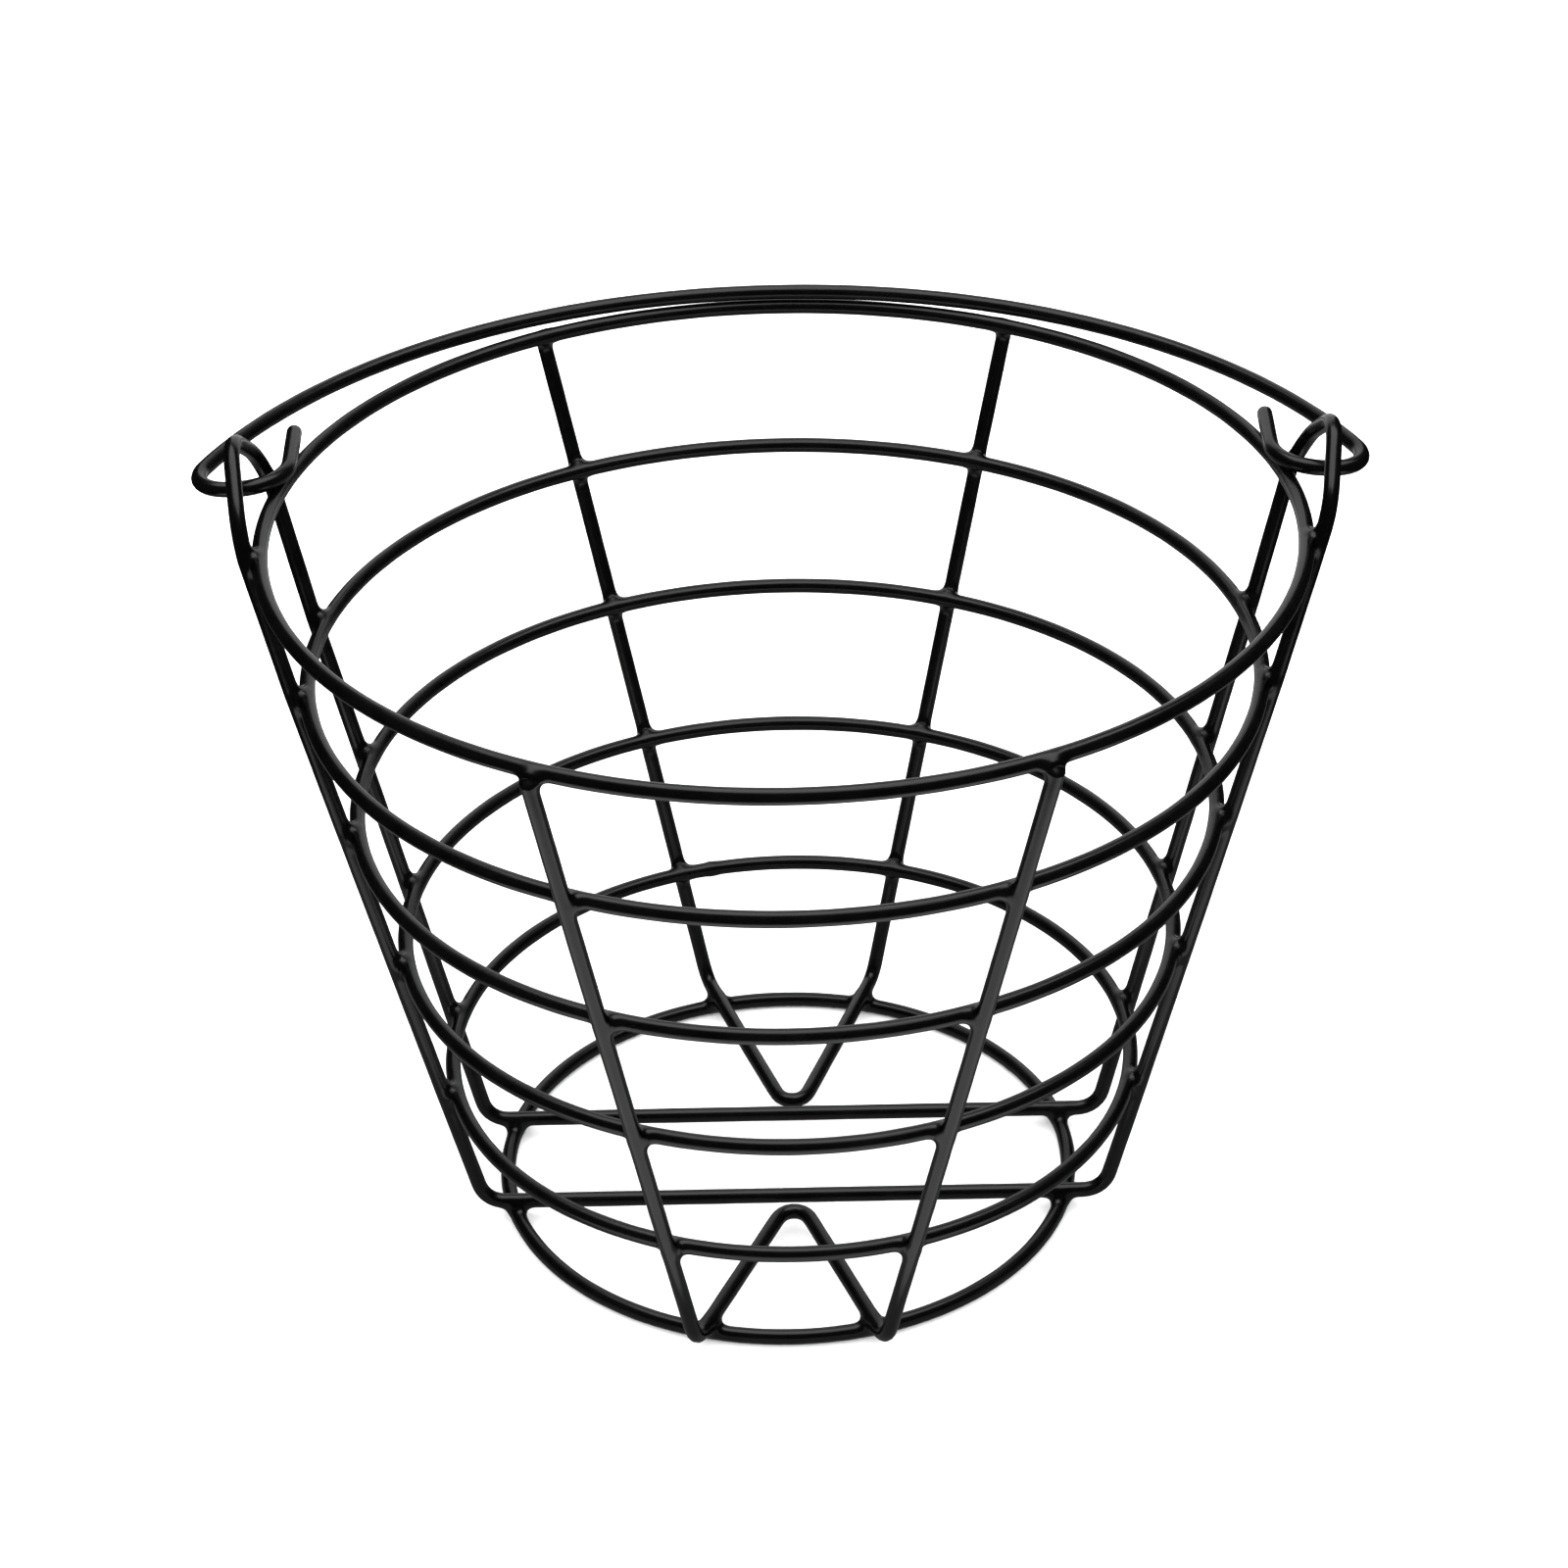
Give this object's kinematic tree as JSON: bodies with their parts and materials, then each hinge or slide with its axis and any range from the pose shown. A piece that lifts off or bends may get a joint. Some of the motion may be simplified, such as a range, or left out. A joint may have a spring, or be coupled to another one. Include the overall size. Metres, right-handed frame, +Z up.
{
  "type": "egg collection basket",
  "caption": "Round tapered open basket of black coated wire, with hoops welded inside bent ribs, ears above the rim and a swinging wire bail handle.",
  "frame": {"origin": "centre of the base ring's underside, where the basket stands on a table", "axes": "+Z up, +X to the right-hand ear, along the handle's hinge line, +Y to the back, where the handle is folded down on the rim"},
  "size_m": [0.3442, 0.3046, 0.2554],
  "materials": {
    "coated_wire": "gloss",
    "handle_wire": "gloss"
  },
  "bodies": {
    "basket": {"base_ring": "coated_wire", "lower_hoop": "coated_wire", "lower_middle_hoop": "coated_wire", "upper_middle_hoop": "coated_wire", "upper_hoop": "coated_wire", "rim_hoop": "coated_wire", "front_frame_wire": "coated_wire", "back_frame_wire": "coated_wire", "side_frame_wire": "coated_wire"},
    "handle": {"carry_handle": "handle_wire"}
  },
  "joints": [
    {"name": "handle_swing", "type": "hinge", "parent": "basket", "child": "handle", "pos_m": [0, 0.018, 0.23385], "axis": [1, 0, 0], "range_deg": [0, 180]}
  ]
}
